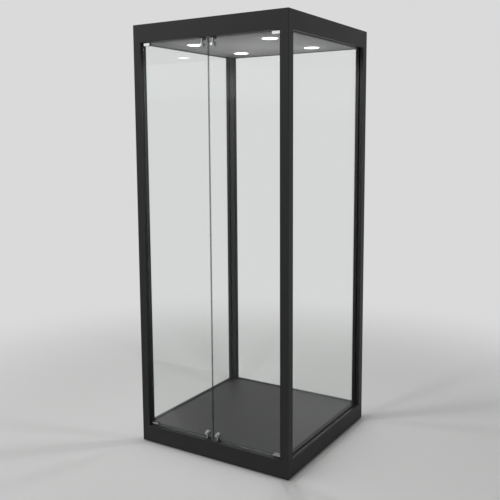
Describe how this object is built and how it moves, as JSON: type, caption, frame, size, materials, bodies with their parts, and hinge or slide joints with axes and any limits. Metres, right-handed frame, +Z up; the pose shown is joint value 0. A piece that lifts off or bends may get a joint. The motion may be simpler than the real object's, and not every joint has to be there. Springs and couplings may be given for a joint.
{
  "type": "glass display case",
  "caption": "Floor-standing square glass display case with an extruded frame, paired pivoting glass doors, bolt locks and ceiling lights.",
  "frame": {"origin": "on the floor under the middle of the case", "axes": "+Z up, -Y towards the doors, +X to the right of someone facing the doors"},
  "size_m": [0.8, 0.8, 1.965],
  "materials": {
    "frame": "fine matt anthracite powder coat",
    "deck": "grey laminate on board",
    "ceiling": "grey laminate on board",
    "glass": "clear, polished edges",
    "gasket": "matt",
    "chrome": "polished",
    "steel": "satin",
    "black_steel": "matt black",
    "alloy": "as cast",
    "nylon": "matt",
    "casing": "satin",
    "lens": "frosted, lit"
  },
  "bodies": {
    "case": {"base_rail_front": "frame", "base_rail_back": "frame", "base_rail_left": "frame", "base_rail_right": "frame", "top_rail_front": "frame", "top_rail_back": "frame", "top_rail_left": "frame", "top_rail_right": "frame", "post_front_left": "frame", "post_front_right": "frame", "post_rear_left": "frame", "post_rear_right": "frame", "corner_cleats": "alloy", "post_screws": "steel", "deck_board": "deck", "ceiling_board": "ceiling", "board_screws": "steel", "roof_sheet": "frame", "left_glass": "glass", "right_glass": "glass", "back_glass": "glass", "left_gasket": "gasket", "right_gasket": "gasket", "back_gasket": "gasket", "pivot_bushes": "nylon", "door_stops": "black_steel", "lamp_housings": "casing", "lamp_lenses": "lens", "led_driver": "casing", "lamp_wiring": "nylon", "power_inlet": "nylon", "levelling_feet": "steel", "foot_brackets": "steel"},
    "left_door": {"left_door_glass": "glass", "left_pivot_clips": "chrome", "left_pivot_pins": "steel", "left_clip_pads": "gasket", "left_door_screws": "steel", "left_upper_lock_housing": "chrome", "left_lower_lock_housing": "chrome", "left_lock_covers": "steel", "left_lock_rosettes": "chrome"},
    "left_upper_lock_plug": {"left_upper_lock_plug": "steel"},
    "left_upper_lock_bolt": {"left_upper_lock_bolt": "steel"},
    "left_lower_lock_plug": {"left_lower_lock_plug": "steel"},
    "left_lower_lock_bolt": {"left_lower_lock_bolt": "steel"},
    "right_door": {"right_door_glass": "glass", "right_pivot_clips": "chrome", "right_pivot_pins": "steel", "right_clip_pads": "gasket", "right_door_screws": "steel", "right_upper_lock_housing": "chrome", "right_lower_lock_housing": "chrome", "right_lock_covers": "steel", "right_lock_rosettes": "chrome"},
    "right_upper_lock_plug": {"right_upper_lock_plug": "steel"},
    "right_upper_lock_bolt": {"right_upper_lock_bolt": "steel"},
    "right_lower_lock_plug": {"right_lower_lock_plug": "steel"},
    "right_lower_lock_bolt": {"right_lower_lock_bolt": "steel"}
  },
  "joints": [
    {"name": "left_door_swing", "type": "hinge", "parent": "case", "child": "left_door", "pos_m": [-0.345, -0.38, 0.985], "axis": [0, 0, -1], "range_deg": [0, 105]},
    {"name": "left_upper_lock_turn", "type": "hinge", "parent": "left_door", "child": "left_upper_lock_plug", "pos_m": [-0.028, -0.3875, 1.852], "axis": [0, -1, 0], "range_deg": [0, 90]},
    {"name": "left_upper_bolt_slide", "type": "slide", "parent": "left_door", "child": "left_upper_lock_bolt", "axis": [0, 0, 1], "range_m": [0, 0.006]},
    {"name": "left_lower_lock_turn", "type": "hinge", "parent": "left_door", "child": "left_lower_lock_plug", "pos_m": [-0.028, -0.3875, 0.118], "axis": [0, 1, 0], "range_deg": [0, 90]},
    {"name": "left_lower_bolt_slide", "type": "slide", "parent": "left_door", "child": "left_lower_lock_bolt", "axis": [0, 0, -1], "range_m": [0, 0.006]},
    {"name": "right_door_swing", "type": "hinge", "parent": "case", "child": "right_door", "pos_m": [0.345, -0.38, 0.985], "axis": [0, 0, 1], "range_deg": [0, 105]},
    {"name": "right_upper_lock_turn", "type": "hinge", "parent": "right_door", "child": "right_upper_lock_plug", "pos_m": [0.028, -0.3875, 1.852], "axis": [0, 1, 0], "range_deg": [0, 90]},
    {"name": "right_upper_bolt_slide", "type": "slide", "parent": "right_door", "child": "right_upper_lock_bolt", "axis": [0, 0, 1], "range_m": [0, 0.006]},
    {"name": "right_lower_lock_turn", "type": "hinge", "parent": "right_door", "child": "right_lower_lock_plug", "pos_m": [0.028, -0.3875, 0.118], "axis": [0, -1, 0], "range_deg": [0, 90]},
    {"name": "right_lower_bolt_slide", "type": "slide", "parent": "right_door", "child": "right_lower_lock_bolt", "axis": [0, 0, -1], "range_m": [0, 0.006]}
  ],
  "couplings": [
    {"joint": "left_upper_lock_turn", "follows": "left_upper_bolt_slide", "rad_per_m": 261.79},
    {"joint": "left_lower_lock_turn", "follows": "left_lower_bolt_slide", "rad_per_m": 261.79},
    {"joint": "right_upper_lock_turn", "follows": "right_upper_bolt_slide", "rad_per_m": 261.79},
    {"joint": "right_lower_lock_turn", "follows": "right_lower_bolt_slide", "rad_per_m": 261.79}
  ]
}
